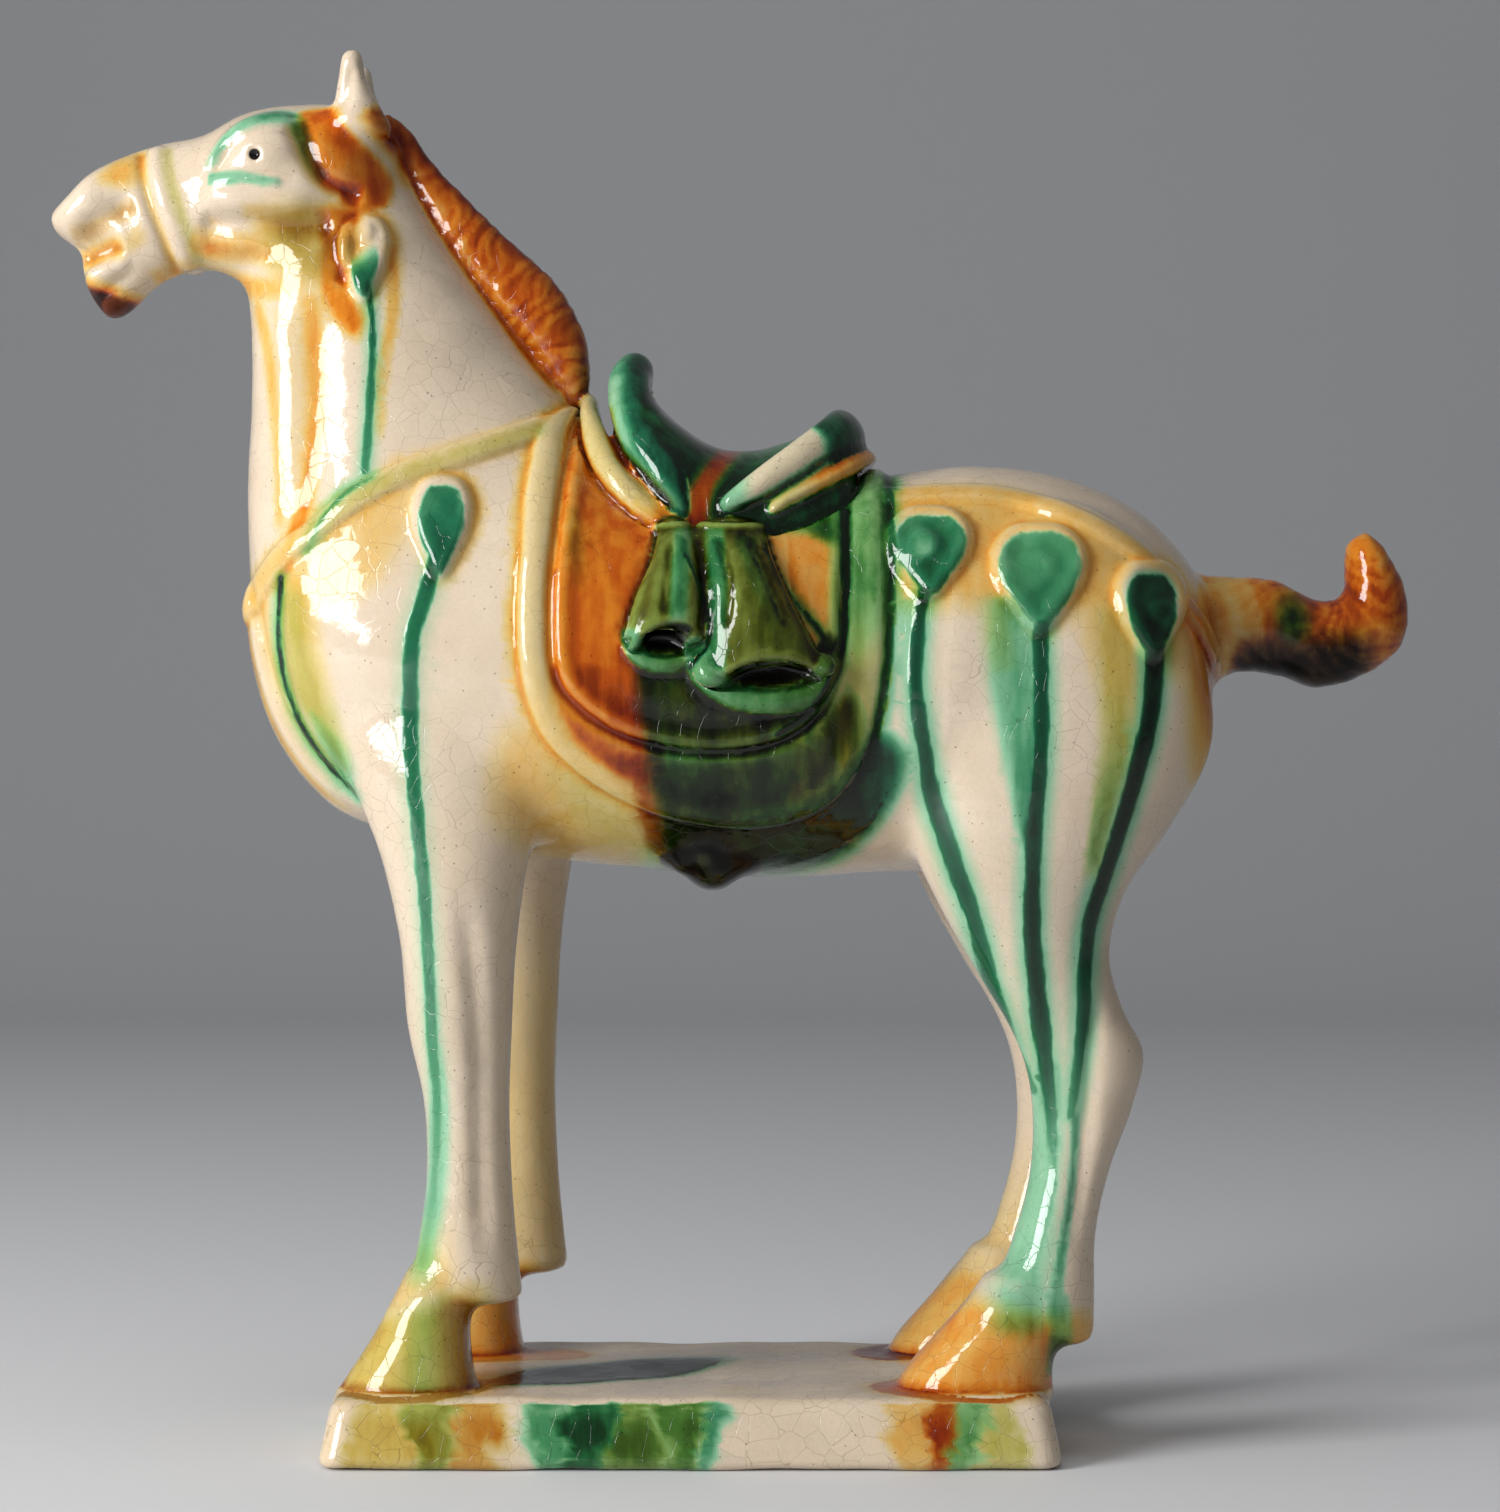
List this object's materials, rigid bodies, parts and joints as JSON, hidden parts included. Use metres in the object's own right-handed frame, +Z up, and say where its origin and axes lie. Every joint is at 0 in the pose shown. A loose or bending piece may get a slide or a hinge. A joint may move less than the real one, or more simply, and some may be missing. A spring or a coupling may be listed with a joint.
{
  "type": "chinese tomb horse figurine",
  "caption": "Standing saddled horse in pottery with dripping cream, amber and green glazes, cast with its rectangular plinth.",
  "frame": {"origin": "centre of the plinth's underside", "axes": "+Z up, -X the way the horse faces, -Y its left side"},
  "size_m": [0.2439, 0.0804, 0.2478],
  "materials": {
    "sancai_glaze": "glossy lead glaze in cream, amber, green and brown, run together in drips, finely crazed"
  },
  "bodies": {
    "root": {"tomb_horse": "sancai_glaze"}
  },
  "joints": []
}
